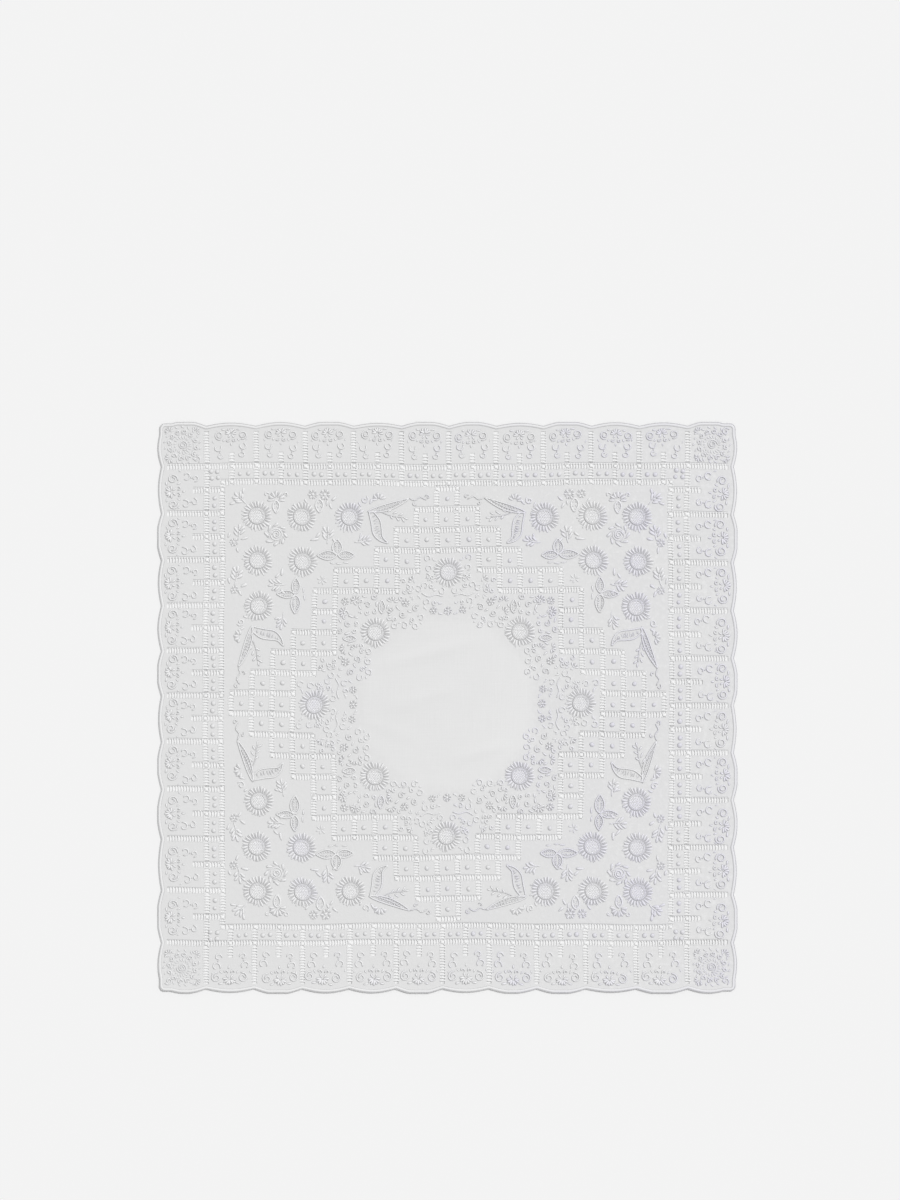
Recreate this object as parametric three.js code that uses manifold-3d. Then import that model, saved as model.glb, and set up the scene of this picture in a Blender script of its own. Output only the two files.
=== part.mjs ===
// A white linen handkerchief laid out flat. It is one cloth: a scalloped edge with a raised corded rim,
// a double frame and a stepped diamond ring of drawn-thread ladders sunk into it, and padded flower
// heads and leaves standing up from it. Millimetres, +Z up, the origin under the middle of the cloth.
import * as THREE from 'three';
import { mergeVertices } from 'three/addons/utils/BufferGeometryUtils.js';
import Module from 'manifold-3d';

const wasm = await Module();
wasm.setup();

// The cloth
const HALF_WIDTH = 200;        // along X, to the tips of the scallops
const HALF_DEPTH = 197;        // along Y
const CLOTH_TOP = 1.0;         // the plain weave
const RIM_TOP = 1.4;           // the corded edge stands above it
const RIM_WIDTH = 2.2;
const LADDER_FLOOR = 0.6;      // where the drawn threads thin the cloth
const CLEAR = 3;               // a cutter reaches up to here, well above the cloth
const FINE = 0.01;             // what a joined or cut surface may be simplified by
const WELD = 1e-4;             // vertices nearer than this are one

// The edge: one scallop to a panel, and one to each corner square
const PANELS = 10;
const CORNER_RADIUS = 5;
const CORNER_SWELL = 0.5;      // how far out the edge already is where a corner's arc begins
const SCALLOP_STEPS = 4;
const SCALLOP_FULLNESS = 0.95; // under 1 is fuller than a sine
const SCALLOP_UNEVEN = 0.25;   // how much deeper or shallower a scallop may be than its neighbours

// The drawn-thread ladders
const LADDER_WIDTH = 3.1;
const OUTER_FRAME = { left: -166.6, right: 165.7, bottom: -162.3, top: 166.2 };
const INNER_FRAME = { left: -155.9, right: 154.4, bottom: -151.2, top: 155.1 };
const HALF_LADDER = 8.5;       // the short ladder in the middle of a panel, out from the outer frame
const LADDER_TO_EDGE = 7.5;    // where a long ladder stops, in from the tips of the scallops

// The four sides. depth is how deep the scallops are. The hand has let the panel lines wander along the
// side: drift is their shift at the middle, and skew their shift at the first quarter.
const SIDES = {
  bottom: { along: 'x', depth: 2.9, drift: -3.3, skew: 1.9 },
  right: { along: 'y', depth: 2.5, drift: -0.5, skew: 0.4 },
  top: { along: 'x', depth: 2.7, drift: 1.6, skew: 1.0 },
  left: { along: 'y', depth: 2.5, drift: 6.0, skew: 2.5 },
};

// The ring of small squares, round the middle of the pattern. Each row has cells at these columns, on
// both sides, counted from the middle.
const PATTERN_Y = 2.4;
const CELL = 14.2;
const RING = [
  { row: 0, columns: [8, 9, 10] },
  { row: 1, columns: [8, 9] },
  { row: 2, columns: [7, 8] },
  { row: 3, columns: [6, 7] },
  { row: 4, columns: [6] },
  { row: 5, columns: [6] },
  { row: 6, columns: [3, 4, 5] },
  { row: 7, columns: [2, 3] },
  { row: 8, columns: [0, 1, 2] },
  { row: 9, columns: [0, 1] },
  { row: 10, columns: [0] },
];

// The flower heads: six in each corner field, and eight round the plain middle
const PETALS = 8;
const FLOWER = { petalTip: 9.9, petalNotch: 7.4, eye: 5.2, eyeTop: 1.7 };
const ROOT = 0.7;              // raised work starts this deep in the cloth
const CORNER_FLOWERS = [
  { x: 131.7, y: 129.0 },
  { x: 100.7, y: 129.0 },
  { x: 67.6, y: 129.0 },
  { x: 131.7, y: 98.3 },
  { x: 100.7, y: 98.3 },
  { x: 130.3, y: 66.9 },
];
const MEDALLION_FLOWERS = { count: 8, onAxis: 91.5, onDiagonal: 70.5 };

// The large leaves of a corner field: base, heading in degrees, length and width
const LEAF_TOP = 1.4;
const LEAVES = [
  { x: 54.2, y: 132.6, heading: 161, long: 30, wide: 4.6 },
  { x: 54.8, y: 132.0, heading: 236, long: 25.5, wide: 6.2 },
  { x: 132.6, y: 54.2, heading: 289, long: 30, wide: 4.6 },
  { x: 132.0, y: 54.8, heading: 214, long: 25.5, wide: 6.2 },
  { x: 77.2, y: 102.6, heading: 0, long: 13.4, wide: 6.0 },
  { x: 75.8, y: 102.6, heading: 180, long: 11.6, wide: 5.6 },
  { x: 76.5, y: 103.6, heading: 90, long: 11.4, wide: 6.8 },
  { x: 104.9, y: 76.3, heading: 90, long: 13.4, wide: 6.0 },
  { x: 104.9, y: 74.9, heading: 270, long: 11.6, wide: 5.6 },
  { x: 105.9, y: 75.6, heading: 0, long: 11.4, wide: 6.8 },
];

// Every line is worked by hand, so it strays from the ruled one in a long wave and a short one
const STRAY = { long: { size: 0.55, length: 245, slant: 0.4 }, short: { size: 0.3, length: 75 } };

function stray(along, across) {
  const { long, short } = STRAY;
  const turn = 2 * Math.PI;
  return long.size * Math.sin((turn * (along + long.slant * across)) / long.length)
    + short.size * Math.sin((turn * along) / short.length);
}

function wander(x, y) {
  return new THREE.Vector2(x + stray(y, x), y + stray(x, -y));
}

// The place of a panel line along its side, counted from the low end; a half is the middle of a panel
function panelLine(side, count) {
  const [low, high] = side.along === 'x'
    ? [OUTER_FRAME.left, OUTER_FRAME.right]
    : [OUTER_FRAME.bottom, OUTER_FRAME.top];
  const share = count / PANELS;
  const shift = side.drift * Math.sin(Math.PI * share) + side.skew * Math.sin(2 * Math.PI * share);
  return THREE.MathUtils.lerp(low, high, share) + shift;
}

// How far the edge swells out along a scallop, from 0 in its valley to 1 at its tip
function swell(share) {
  return Math.sin(Math.PI * share) ** SCALLOP_FULLNESS;
}

// One side's edge as pairs: the place along the side, and the distance in from the tips
function sideEdge(side) {
  const half = side.along === 'x' ? HALF_WIDTH : HALF_DEPTH;
  const breaks = [-half + CORNER_RADIUS];
  for (let count = 0; count <= PANELS; count += 1) breaks.push(panelLine(side, count));
  breaks.push(half - CORNER_RADIUS);
  const edge = [];
  for (let scallop = 0; scallop < breaks.length - 1; scallop += 1) {
    const uneven = 1 + SCALLOP_UNEVEN * Math.sin(scallop * 2.3 + side.drift);
    for (let step = 0; step < SCALLOP_STEPS; step += 1) {
      const share = step / SCALLOP_STEPS;
      let out = swell(share);
      if (scallop === 0 && share < 0.5) out = Math.max(out, CORNER_SWELL);
      if (scallop === breaks.length - 2 && share > 0.5) out = Math.max(out, CORNER_SWELL);
      const at = THREE.MathUtils.lerp(breaks[scallop], breaks[scallop + 1], share);
      edge.push({ at, inset: Math.max(0, side.depth * (1 - out * uneven)) });
    }
  }
  edge.push({ at: half - CORNER_RADIUS, inset: side.depth * (1 - CORNER_SWELL) });
  return edge;
}

// The round of a corner between the ends of two sides
function cornerArc(signX, signY, fromDegrees) {
  const radius = CORNER_RADIUS - (1 - CORNER_SWELL) * SIDES.right.depth;
  return [30, 60].map((turn) => {
    const angle = THREE.MathUtils.degToRad(fromDegrees + turn);
    return new THREE.Vector2(
      signX * (HALF_WIDTH - CORNER_RADIUS) + radius * Math.cos(angle),
      signY * (HALF_DEPTH - CORNER_RADIUS) + radius * Math.sin(angle),
    );
  });
}

// The whole edge, anticlockwise from the bottom left
function clothOutline() {
  const bottom = sideEdge(SIDES.bottom).map((p) => new THREE.Vector2(p.at, -HALF_DEPTH + p.inset));
  const right = sideEdge(SIDES.right).map((p) => new THREE.Vector2(HALF_WIDTH - p.inset, p.at));
  const top = sideEdge(SIDES.top).map((p) => new THREE.Vector2(p.at, HALF_DEPTH - p.inset));
  const left = sideEdge(SIDES.left).map((p) => new THREE.Vector2(-HALF_WIDTH + p.inset, p.at));
  return [
    ...bottom,
    ...cornerArc(1, -1, 270),
    ...right,
    ...cornerArc(1, 1, 0),
    ...top.reverse(),
    ...cornerArc(-1, 1, 90),
    ...left.reverse(),
    ...cornerArc(-1, -1, 180),
  ];
}

// The outline moved in by the width of the rim, with half as many points
function rimInside(outline) {
  const inside = [];
  for (let i = 0; i < outline.length; i += 2) {
    const before = outline[(i + outline.length - 1) % outline.length];
    const after = outline[(i + 1) % outline.length];
    const run = after.clone().sub(before).setLength(RIM_WIDTH);
    inside.push(new THREE.Vector2(outline[i].x - run.y, outline[i].y + run.x));
  }
  return inside;
}

// A flat slab between two heights, standing on an outline
function slab(outline, low, high) {
  const geometry = new THREE.ExtrudeGeometry(new THREE.Shape(outline), {
    depth: high - low,
    bevelEnabled: false,
  });
  return geometry.translate(0, 0, low);
}

// A closed geometry whose faces share their vertices
function weld(geometry) {
  const plain = geometry.clone();
  plain.deleteAttribute('normal');
  plain.deleteAttribute('uv');
  return mergeVertices(plain, WELD);
}

function toSolid(geometry) {
  const welded = weld(geometry);
  const mesh = new wasm.Mesh({
    numProp: 3,
    vertProperties: new Float32Array(welded.attributes.position.array),
    triVerts: new Uint32Array(welded.index.array),
  });
  return new wasm.Manifold(mesh);
}

function toGeometry(solid) {
  const mesh = solid.getMesh();
  const geometry = new THREE.BufferGeometry();
  geometry.setAttribute('position', new THREE.BufferAttribute(mesh.vertProperties, 3));
  geometry.setIndex(new THREE.BufferAttribute(mesh.triVerts, 1));
  geometry.computeVertexNormals();
  return geometry;
}

// A ladder: a ribbon of one width along its points
function ladder(places) {
  const points = places.map(([x, y]) => wander(x, y));
  const leftSide = [];
  const rightSide = [];
  points.forEach((point, i) => {
    const before = points[Math.max(0, i - 1)];
    const after = points[Math.min(points.length - 1, i + 1)];
    const run = after.clone().sub(before).setLength(LADDER_WIDTH / 2);
    const end = new THREE.Vector2();
    if (i === 0) end.copy(run).negate();
    if (i === points.length - 1) end.copy(run);
    leftSide.push(new THREE.Vector2(point.x - run.y + end.x, point.y + run.x + end.y));
    rightSide.push(new THREE.Vector2(point.x + run.y + end.x, point.y - run.x + end.y));
  });
  return toSolid(slab([...rightSide, ...leftSide.reverse()], LADDER_FLOOR, CLEAR));
}

// The four ladders of a frame. Those of the outer frame run on across the corner squares.
function frameLadders(frame, runOn) {
  const ladders = [];
  for (const [name, side] of Object.entries(SIDES)) {
    const alongX = side.along === 'x';
    const [low, high] = alongX ? [frame.left, frame.right] : [frame.bottom, frame.top];
    const reach = (alongX ? HALF_WIDTH : HALF_DEPTH) - LADDER_TO_EDGE;
    const stops = runOn ? [-reach, low] : [low];
    for (let count = 2; count < PANELS; count += 2) stops.push(panelLine(side, count));
    stops.push(high);
    if (runOn) stops.push(reach);
    ladders.push(ladder(stops.map((stop) => (alongX ? [stop, frame[name]] : [frame[name], stop]))));
  }
  return ladders;
}

// The ladders between the panels: a long one at each panel line, from the inner frame out to the edge,
// and a short one between, out from the outer frame
function panelLadders() {
  const ladders = [];
  for (const [name, side] of Object.entries(SIDES)) {
    const sign = name === 'top' || name === 'right' ? 1 : -1;
    const half = side.along === 'x' ? HALF_DEPTH : HALF_WIDTH;
    const outer = OUTER_FRAME[name];
    for (let count = 0.5; count < PANELS; count += 0.5) {
      const at = panelLine(side, count);
      const long = Number.isInteger(count);
      const ends = long
        ? [INNER_FRAME[name], sign * (half - LADDER_TO_EDGE)]
        : [outer, outer + sign * HALF_LADDER];
      const places = ends.map((out) => (side.along === 'x' ? [at, out] : [out, at]));
      ladders.push(ladder(places));
    }
  }
  return ladders;
}

// The cells of the ring, as column and row numbers counted from the middle
function ringCells() {
  const cells = new Set();
  for (const { row, columns } of RING) {
    for (const column of columns) {
      for (const [x, y] of [[column, row], [-column, row], [column, -row], [-column, -row]]) {
        cells.add(`${x},${y}`);
      }
    }
  }
  return cells;
}

// The ladders along the cells' edges, each as long as the row of edges that it follows
function ringLadders() {
  const cells = ringCells();
  const reach = RING.length;
  const place = (line) => (line - 0.5) * CELL;
  const ladders = [];
  for (const upright of [false, true]) {
    for (let line = -reach; line <= reach; line += 1) {
      let start = null;
      for (let cell = -reach; cell <= reach; cell += 1) {
        const edged = upright
          ? cells.has(`${line},${cell}`) || cells.has(`${line - 1},${cell}`)
          : cells.has(`${cell},${line}`) || cells.has(`${cell},${line - 1}`);
        if (edged && start === null) start = place(cell);
        if (edged || start === null) continue;
        ladders.push(ladder([start, place(cell)].map((stop) => (
          upright ? [place(line), PATTERN_Y + stop] : [stop, PATTERN_Y + place(line)]
        ))));
        start = null;
      }
    }
  }
  return ladders;
}

// A flower head: a low cone turned on a lathe, with every other vertex of its foot drawn in to a notch
// between petals. The petals slope down from the eye, and the cone goes on to its root in the cloth.
function flowerHead(x, y, turn) {
  const slopeOn = (FLOWER.eyeTop - ROOT) / (FLOWER.eyeTop - CLOTH_TOP);
  const tip = FLOWER.eye + (FLOWER.petalTip - FLOWER.eye) * slopeOn;
  const notch = FLOWER.eye + (FLOWER.petalNotch - FLOWER.eye) * slopeOn;
  const profile = [[0, ROOT], [tip, ROOT], [FLOWER.eye, FLOWER.eyeTop], [0, FLOWER.eyeTop]]
    .map(([radius, height]) => new THREE.Vector2(radius, height));
  const geometry = weld(new THREE.LatheGeometry(profile, 2 * PETALS)).rotateX(Math.PI / 2);
  const position = geometry.attributes.position;
  for (let i = 0; i < position.count; i += 1) {
    const radius = Math.hypot(position.getX(i), position.getY(i));
    const angle = Math.atan2(position.getY(i), position.getX(i));
    const atNotch = Math.abs(Math.round((angle * PETALS) / Math.PI)) % 2 === 1;
    if (radius > FLOWER.petalTip && atNotch) {
      position.setXY(i, notch * Math.cos(angle), notch * Math.sin(angle));
    }
  }
  const place = wander(x, y);
  return toSolid(geometry.rotateZ(turn).translate(place.x, place.y, 0));
}

// Each corner field is the first one mirrored
const CORNERS = [[1, 1], [-1, 1], [-1, -1], [1, -1]];

function flowerHeads() {
  const heads = [];
  CORNERS.forEach(([signX, signY], corner) => {
    CORNER_FLOWERS.forEach(({ x, y }, i) => {
      heads.push(flowerHead(signX * x, PATTERN_Y + signY * y, corner + i));
    });
  });
  const { count, onAxis, onDiagonal } = MEDALLION_FLOWERS;
  for (let i = 0; i < count; i += 1) {
    const angle = (i * 2 * Math.PI) / count;
    const out = i % 2 === 0 ? onAxis : onDiagonal;
    heads.push(flowerHead(out * Math.cos(angle), PATTERN_Y + out * Math.sin(angle), i));
  }
  return heads;
}

// A leaf: a long pointed oval, widest before its middle
function leaf(x, y, heading, long, wide) {
  const points = [[0, 0], [0.25, -1], [0.65, -0.9], [1, 0], [0.65, 0.9], [0.25, 1]]
    .map(([share, side]) => new THREE.Vector2(share * long, (side * wide) / 2));
  const place = wander(x, y);
  const geometry = slab(points, ROOT, LEAF_TOP);
  return toSolid(geometry.rotateZ(heading).translate(place.x, place.y, 0));
}

function leaves() {
  const all = [];
  for (const [signX, signY] of CORNERS) {
    for (const { x, y, heading, long, wide } of LEAVES) {
      const angle = THREE.MathUtils.degToRad(heading);
      const turned = Math.atan2(signY * Math.sin(angle), signX * Math.cos(angle));
      all.push(leaf(signX * x, PATTERN_Y + signY * y, turned, long, wide));
    }
  }
  return all;
}

function clothGeometry() {
  const outline = clothOutline();
  const cutters = [
    toSolid(slab(rimInside(outline), CLOTH_TOP, CLEAR)),
    ...frameLadders(OUTER_FRAME, true),
    ...frameLadders(INNER_FRAME, false),
    ...panelLadders(),
    ...ringLadders(),
  ];
  const cloth = toSolid(slab(outline, 0, RIM_TOP))
    .subtract(wasm.Manifold.union(cutters))
    .add(wasm.Manifold.union([...flowerHeads(), ...leaves()]))
    .asOriginal()
    .simplify(FINE);
  const geometry = toGeometry(cloth);
  geometry.computeBoundingBox();
  const middle = geometry.boundingBox.getCenter(new THREE.Vector3());
  return geometry.translate(-middle.x, -middle.y, 0);
}

const linen = new THREE.MeshStandardMaterial({ color: 0xf2f2f0, roughness: 0.9, metalness: 0 });
const handkerchief = new THREE.Group();
const cloth = new THREE.Mesh(clothGeometry(), linen);
cloth.name = 'handkerchief_cloth';
handkerchief.add(cloth);

export default handkerchief;
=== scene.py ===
# %% [markdown]
# A white linen handkerchief with white needlework, laid out flat. The plain solid that comes with it
# already has the scalloped edge, the sunk ladders and the raised flowers. This lesson works the real
# cloth and its threads over that solid, in the same place and at the same size.

# %% Load the frame
import itertools
import math

import bmesh
import bpy
import numpy as np
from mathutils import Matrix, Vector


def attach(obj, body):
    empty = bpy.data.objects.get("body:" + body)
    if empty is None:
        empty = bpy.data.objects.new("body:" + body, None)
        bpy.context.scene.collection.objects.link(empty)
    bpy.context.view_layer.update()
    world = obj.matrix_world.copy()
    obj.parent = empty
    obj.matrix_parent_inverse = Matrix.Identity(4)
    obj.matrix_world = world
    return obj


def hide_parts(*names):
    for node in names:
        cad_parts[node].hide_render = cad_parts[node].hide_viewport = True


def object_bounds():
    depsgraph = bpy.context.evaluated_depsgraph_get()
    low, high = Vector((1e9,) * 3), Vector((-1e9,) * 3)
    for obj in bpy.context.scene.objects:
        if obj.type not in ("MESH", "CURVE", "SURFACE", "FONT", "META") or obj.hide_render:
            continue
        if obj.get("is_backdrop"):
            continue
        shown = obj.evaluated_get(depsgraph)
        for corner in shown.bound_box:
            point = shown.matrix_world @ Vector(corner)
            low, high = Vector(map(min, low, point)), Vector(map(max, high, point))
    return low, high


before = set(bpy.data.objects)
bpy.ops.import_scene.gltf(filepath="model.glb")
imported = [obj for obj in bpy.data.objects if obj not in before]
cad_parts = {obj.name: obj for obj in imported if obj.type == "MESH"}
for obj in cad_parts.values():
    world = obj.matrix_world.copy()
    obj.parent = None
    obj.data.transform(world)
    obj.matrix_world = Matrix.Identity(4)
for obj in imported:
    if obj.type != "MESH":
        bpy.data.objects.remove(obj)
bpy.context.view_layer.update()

# %% [markdown]
# Everything is measured in millimetres on a ruled, flat cloth, and turned into metres only when a piece
# is laid down. The numbers are those of the solid, so that each thread falls on the form that carries it.

# %% The measures of the cloth, in millimetres
HALF_WIDTH = 200.0
HALF_DEPTH = 197.0
CLOTH = 0.25
PANELS = 10
CORNER_RADIUS = 5.0
CORNER_SWELL = 0.5
SCALLOP_FULLNESS = 0.95
SCALLOP_UNEVEN = 0.25
LADDER = 3.1
HALF_SLOT = LADDER / 2
SHORT_LADDER = 8.5
LADDER_TO_EDGE = 7.5
OUTER_FRAME = {"left": -166.6, "right": 165.7, "bottom": -162.3, "top": 166.2}
INNER_FRAME = {"left": -155.9, "right": 154.4, "bottom": -151.2, "top": 155.1}
SIDES = {
    "bottom": {"along": "x", "sign": -1, "depth": 2.9, "drift": -3.3, "skew": 1.9},
    "right": {"along": "y", "sign": 1, "depth": 2.5, "drift": -0.5, "skew": 0.4},
    "top": {"along": "x", "sign": 1, "depth": 2.7, "drift": 1.6, "skew": 1.0},
    "left": {"along": "y", "sign": -1, "depth": 2.5, "drift": 6.0, "skew": 2.5},
}
ENDS = {"x": ("left", "right"), "y": ("bottom", "top")}
HALVES = {"x": HALF_WIDTH, "y": HALF_DEPTH}
OTHER = {"x": "y", "y": "x"}
PATTERN_Y = 2.4
CELL = 14.2
RING = {
    0: (8, 9, 10), 1: (8, 9), 2: (7, 8), 3: (6, 7), 4: (6,), 5: (6,),
    6: (3, 4, 5), 7: (2, 3), 8: (0, 1, 2), 9: (0, 1), 10: (0,),
}
CORNERS = [(side_x, side_y) for side_x in ("left", "right") for side_y in ("bottom", "top")]


def in_order(way, first, second):
    """The pair as it is for a line along x, and the other way round for a line along y."""
    return (first, second) if way == "x" else (second, first)


def polar(out, degrees):
    way = math.radians(degrees)
    return out * math.cos(way), out * math.sin(way)


hand = np.random.default_rng(1871)

# %% [markdown]
# Hand work is never quite straight: each ruled line strays a little, in one long wave and one short one.
# The cloth also rises off the table in low ripples. Both are plain functions of the place, so that cloth,
# bars and stitches all move together and no stitch parts from its cloth.

# %% Where a ruled place lies on the real cloth
def stray(along, across):
    slow = 0.55 * np.sin(math.tau * (along + 0.4 * across) / 245)
    return slow + 0.3 * np.sin(math.tau * along / 75)


def wander(x, y):
    inside = np.minimum(HALF_WIDTH - np.abs(x), HALF_DEPTH - np.abs(y))
    keep = np.clip((inside - 3) / 12, 0, 1)
    return x + keep * stray(y, x), y + keep * stray(x, -y)


RIPPLES = [  # size, length, heading in degrees, start
    (0.07, 83, 118, 0.4),
    (0.04, 52, 61, 2.1),
    (0.03, 34, 137, 4.4),
]
CREASES = [  # x, y, heading in degrees, half length, half width, size
    (-14, 37, 15, 34, 4.4, 0.55),
    (-16, 7, 20, 22, 4.4, 0.50),
    (-40, -15, -20, 18, 4.4, 0.22),
    (22, -31, 18, 19, 4.4, 0.55),
    (26, 10, 62, 24, 5.0, 0.16),
]


def lie(x, y):
    """How high the underside of the cloth is over the table."""
    height = np.full(np.shape(x), 0.19)
    for size, length, heading, start in RIPPLES:
        turn = math.radians(heading)
        along = x * math.cos(turn) + y * math.sin(turn)
        height = height + size * np.sin(math.tau * along / length + start)
    for at_x, at_y, heading, half, wide, size in CREASES:
        turn = math.radians(heading)
        along = (x - at_x) * math.cos(turn) + (y - at_y) * math.sin(turn)
        across = (y - at_y) * math.cos(turn) - (x - at_x) * math.sin(turn)
        height = height + size * np.exp(-((along / half) ** 4) - (across / wide) ** 2)
    low_edge = np.clip((-y - 178) / 18, 0, 1)  # the near and the far edge lift a little
    high_edge = np.clip((y - 185) / 12, 0, 1)
    return np.maximum(height, 0.08) + 0.55 * low_edge ** 2 + 0.3 * high_edge ** 2


def laid(points):
    """Ruled places, with their height over the top of the cloth, as metres on the cloth as it lies."""
    x, y, height = np.asarray(points, float).T
    x, y = wander(x, y)
    return np.column_stack([x, y, lie(x, y) + CLOTH + height]) / 1000


# %% [markdown]
# Plain linen is a plain weave of uneven yarns: every so often one is thicker, a slub, and shows as a
# faint streak. An image would have to be photographed first, so the weave is made of two crossed waves
# and the slubs of noise stretched along each thread. They read Object coordinates, which are metres here.

# %% Small helpers for materials
def new_material(name, roughness, sheen):
    material = bpy.data.materials.new(name)
    material.use_nodes = True
    shader = material.node_tree.nodes["Principled BSDF"]
    look = {"Roughness": roughness, "Sheen Weight": sheen, "Sheen Roughness": 0.5}
    look["Specular IOR Level"] = 0.25
    for key, value in look.items():
        shader.inputs[key].default_value = value
    return material.node_tree, shader


def node(tree, kind, inputs=None, **settings):
    """A node with its settings, and its inputs as values or as sockets to link from."""
    made = tree.nodes.new("ShaderNode" + kind)
    for key, value in settings.items():
        setattr(made, key, value)
    for key, value in (inputs or {}).items():
        if isinstance(value, bpy.types.NodeSocket):
            tree.links.new(value, made.inputs[key])
        else:
            made.inputs[key].default_value = value
    return made


def stretched_noise(tree, place, scale, detail=2.0):
    """Noise on Object coordinates, stretched by a different scale along X, Y and Z."""
    spread = node(tree, "Mapping", {"Vector": place, "Scale": scale})
    noise = node(tree, "TexNoise", {"Vector": spread.outputs[0], "Scale": 1.0, "Detail": detail})
    return noise.outputs["Fac"]


def attribute(tree, name):
    return node(tree, "Attribute", attribute_name=name).outputs["Fac"]


def times(tree, one, other):
    return node(tree, "Math", {0: one, 1: other}, operation="MULTIPLY").outputs[0]


def sums(tree, *terms):
    """Adds sockets, each times its own weight."""
    total = 0.0
    for socket, weight in terms:
        inputs = {0: socket, 1: weight, 2: total}
        total = node(tree, "Math", inputs, operation="MULTIPLY_ADD").outputs[0]
    return total


def between(tree, value, low, high, dark, light):
    """A colour that goes from dark to light as the value goes from low to high."""
    share = node(tree, "MapRange", {"Value": value, "From Min": low, "From Max": high})
    inputs = {"Factor": share.outputs[0], "A": dark, "B": light}
    return node(tree, "Mix", inputs, data_type="RGBA").outputs["Result"]


def dress(tree, shader, colour, height):
    """Gives a shader its colour and a bump a tenth of a millimetre high."""
    bump = node(tree, "Bump", {"Height": height, "Strength": 0.5, "Distance": 0.0001})
    tree.links.new(colour, shader.inputs["Base Color"])
    tree.links.new(bump.outputs[0], shader.inputs["Normal"])


# %% The lavender cast of old cloth
LAVENDER = (0.925, 0.915, 1.0, 1)


def cast(tree, place, colour, amount):
    """The colour with patches of lavender, which grow toward the right side."""
    patch = stretched_noise(tree, place, (26, 26, 26))
    across = node(tree, "SeparateXYZ", {"Vector": place}).outputs["X"]
    strength = node(
        tree, "MapRange",
        {"Value": sums(tree, (patch, 1.0), (across, 1.0)), "From Min": 0.45, "From Max": 0.72,
         "To Min": 0.08, "To Max": 1.0},
    ).outputs[0]
    inputs = {"Factor": times(tree, strength, amount), "A": colour, "B": LAVENDER}
    return node(tree, "Mix", inputs, data_type="RGBA", blend_type="MULTIPLY").outputs["Result"]


# %% The linen
YARN = 0.00042  # metres, like all lengths in a material
LINEN_TONE = 0.82


def linen_material(name):
    tree, shader = new_material(name, 0.85, 0.12)
    place = node(tree, "TexCoord").outputs["Object"]
    wave = {
        "Vector": place, "Scale": 1 / YARN / 20 * math.tau,
        "Distortion": 0.6, "Detail": 1.0, "Detail Scale": 0.5,
    }
    warp = node(tree, "TexWave", wave, bands_direction="X").outputs["Fac"]
    weft = node(tree, "TexWave", wave, bands_direction="Y").outputs["Fac"]
    slub_warp = stretched_noise(tree, place, (1700, 45, 1))
    slub_weft = stretched_noise(tree, place, (45, 1700, 1))
    cloud = stretched_noise(tree, place, (32, 32, 32), 4.0)
    worked = attribute(tree, "worked")
    pucker_bump_and_shade = times(tree, worked, stretched_noise(tree, place, (330, 330, 330), 3.0))
    across = node(tree, "SeparateXYZ", {"Vector": place}).outputs["X"]
    # The tone holds painted light: it grows lighter toward the right as a painted fall-off of the light,
    # and the puckers are painted with their shade as well as bumped. The worked band is a little darker on
    # the whole.
    shade = sums(
        tree, (warp, 0.05), (weft, 0.05), (slub_warp, 0.14), (slub_weft, 0.14), (cloud, 0.10),
        (pucker_bump_and_shade, 0.80), (worked, -0.60), (across, 0.55),
    )
    dark, light = ((*[share * LINEN_TONE] * 3, 1) for share in (0.95, 1.03))
    colour = cast(tree, place, between(tree, shade, 0.12, 0.36, dark, light), times(tree, worked, 0.10))
    yarns = [(warp, 0.5), (weft, 0.5), (slub_warp, 0.6), (slub_weft, 0.6)]
    dress(tree, shader, colour, sums(tree, *yarns, (pucker_bump_and_shade, 3.0)))


linen_material("plain_linen")
print("linen:", YARN * 1000, "mm a yarn")

# %% [markdown]
# The embroidery is soft cotton floss. A padded stitch is white where it stands up to the light and painted
# grey where it dives into the cloth, a painted shade, so the colour follows a value that each corner of a
# mesh carries: how far it has risen over the cloth. A second value, the place along a stitch, draws the
# single floss strands.

# %% The floss
STRAND = 0.34


def floss_material(name, foot, crest, dark_to, white_from, cool_to=0.9):
    tree, shader = new_material(name, 0.6, 0.25)
    place = node(tree, "TexCoord").outputs["Object"]
    grain = stretched_noise(tree, place, (900, 900, 900))
    lift = sums(tree, (attribute(tree, "rise"), 1.0), (grain, 0.35))
    dark, light = (foot, foot, foot * 1.01, 1), (crest, crest, crest, 1)
    # the colour is painted shade: the lower a corner stands over the cloth, or the less it faces up, the
    # darker
    white = between(tree, lift, dark_to, white_from, dark, light)
    turns = times(tree, attribute(tree, "ply"), math.tau / STRAND)
    strands = node(tree, "Math", {0: turns}, operation="SINE").outputs[0]
    relief = sums(tree, (strands, 0.5), (grain, 0.8))
    dress(tree, shader, cast(tree, place, white, cool_to), relief)


FLOSSES = {  # tone at the foot, which is painted shade, tone on the crest, the rise at which each is reached, and lavender
    "white_floss": (0.40, 0.95, 0.50, 1.05),
    "petal_floss": (0.56, 0.92, 0.30, 1.00),
    "line_floss": (0.46, 0.88, 0.50, 1.05),
    "fine_floss": (0.58, 0.88, 0.45, 1.05),
    "painted_shade_floss": (0.54, 0.62, 0.5, 1.2),
    "soft_painted_shade_floss": (0.60, 0.68, 0.5, 1.2),
    "purl_painted_shade_floss": (0.57, 0.70, 0.5, 1.2, 0.5),
    "painted_shade_line_floss": (0.56, 0.66, 0.5, 1.2, 0.1),
    "soft_floss": (0.62, 0.88, 0.40, 1.00),
    "knot_floss": (0.76, 1.00, 0.35, 0.75),
    "dot_floss": (0.60, 0.82, 0.15, 0.95),
    "hem_floss": (0.86, 0.93, 0.2, 0.8, 0.2),
    "edge_floss": (0.70, 0.84, 0.1, 0.7, 0.4),
    "drawn_thread": (0.88, 0.94, 0.1, 0.6, 0.05),
}
for name, look in FLOSSES.items():
    floss_material(name, *look)
print("floss strands every", STRAND, "mm")

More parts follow.
